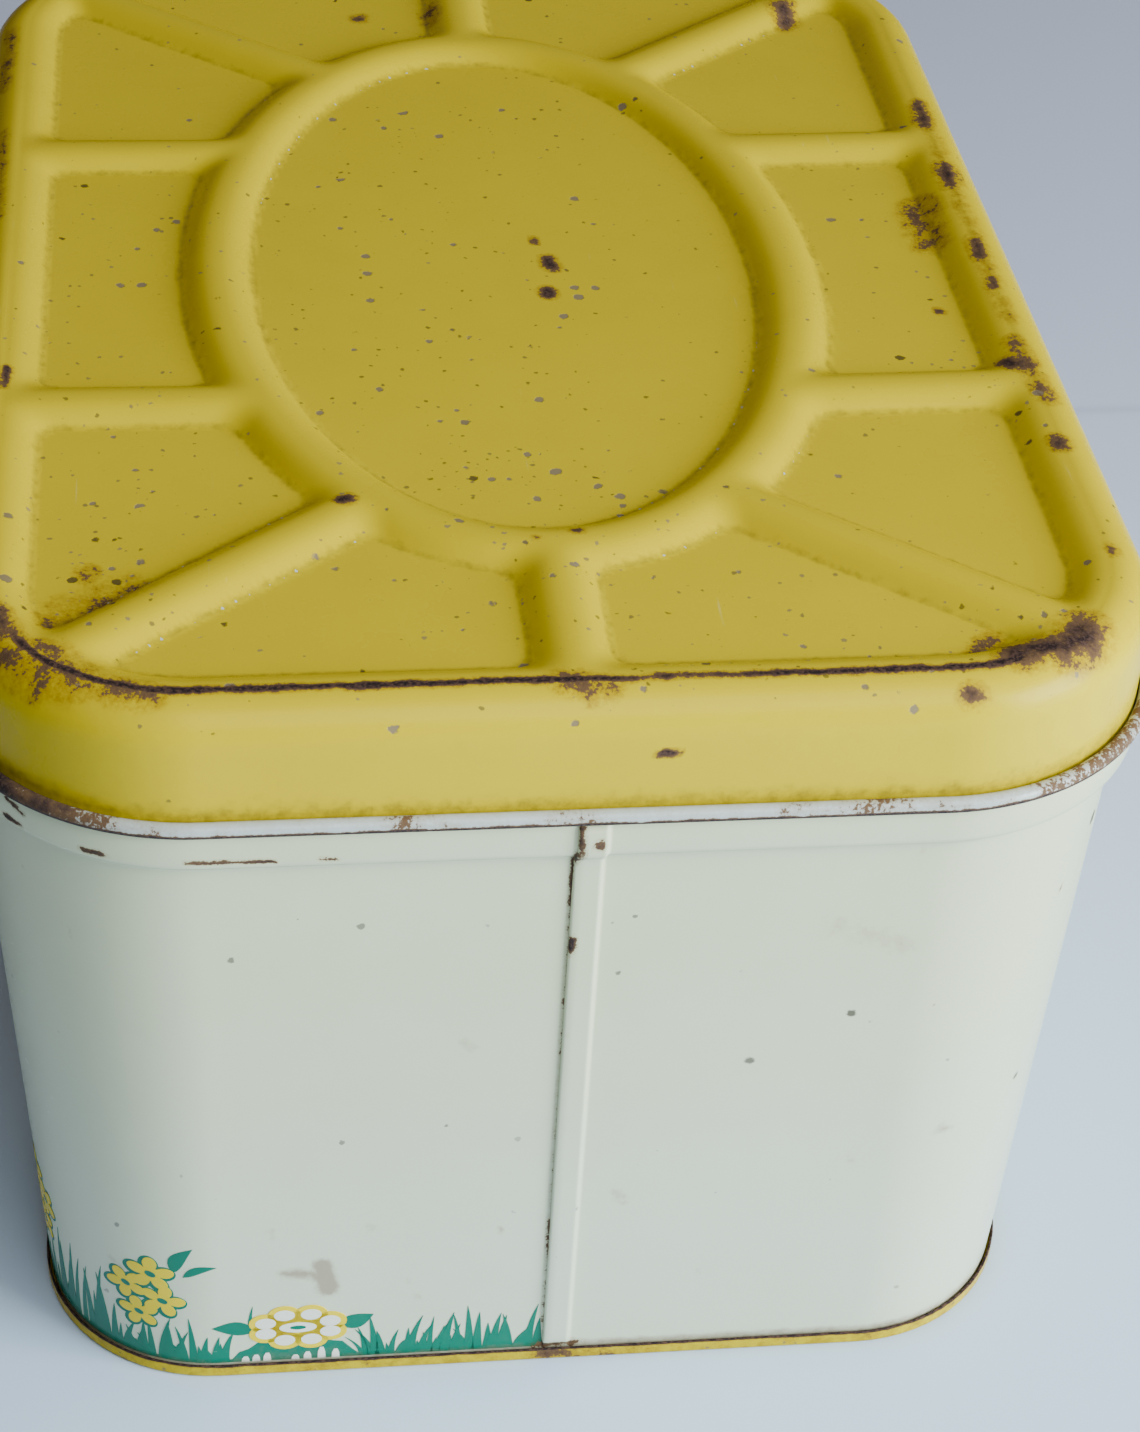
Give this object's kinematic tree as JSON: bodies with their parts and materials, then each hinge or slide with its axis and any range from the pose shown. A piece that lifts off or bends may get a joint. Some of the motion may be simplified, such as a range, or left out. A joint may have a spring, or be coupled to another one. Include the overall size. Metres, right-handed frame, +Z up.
{
  "type": "kitchen storage tin",
  "caption": "Tapered rectangular sheet-metal kitchen tin with rounded corners, a beaded plug-in lid pressed with an oval and spokes, side seams and a seamed-on base.",
  "frame": {"origin": "middle of the base, on the surface the tin stands on", "axes": "+Z up, X along the tin's length, -Y towards the decorated half, +Y towards the plain half"},
  "size_m": [0.3144, 0.2224, 0.1718],
  "materials": {
    "wall_cream": "gloss stoved paint, pale greenish cream, chipped to rust at the edges",
    "lid_yellow": "gloss stoved paint, mustard yellow, rusted along the front crest and corners",
    "base_yellow": "gloss stoved paint, mustard yellow, rust in the seam"
  },
  "bodies": {
    "tin": {"front_wall": "wall_cream", "back_wall": "wall_cream", "base_panel": "base_yellow"},
    "lid": {"lid": "lid_yellow"}
  },
  "joints": [
    {"name": "lid_lift", "type": "slide", "parent": "tin", "child": "lid", "axis": [0, 0, 1], "range_m": [0, 0.12]}
  ]
}
